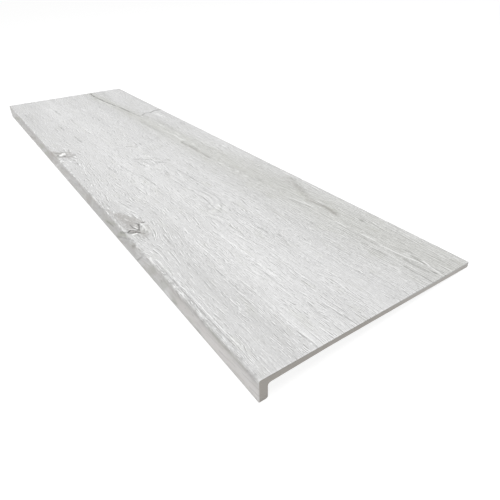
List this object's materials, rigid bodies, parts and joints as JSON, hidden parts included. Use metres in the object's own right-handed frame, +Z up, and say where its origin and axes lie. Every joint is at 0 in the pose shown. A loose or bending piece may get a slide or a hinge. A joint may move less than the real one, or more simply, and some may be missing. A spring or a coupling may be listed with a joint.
{
  "type": "stair tread tile",
  "caption": "Long pressed porcelain stair tread tile with a wood-grain face, its front edge turned down in one piece into a nosing lip that covers the step's edge.",
  "frame": {"origin": "on the floor, under the middle of the tile's bounding box", "axes": "+X along the nosing towards the right-hand end, +Y from the nosing to the rear edge, +Z up; the tread leans back 4.1 degrees, as it lies unheld on the foot of its lip and its rear edge"},
  "size_m": [1.2, 0.3212, 0.0303],
  "materials": {
    "porcelain": "matt pale grey wood-grain glaze on the tread and the lip, bare grey porcelain body on the ends and the back"
  },
  "bodies": {
    "root": {"stair_tread_tile": "porcelain"}
  },
  "joints": []
}
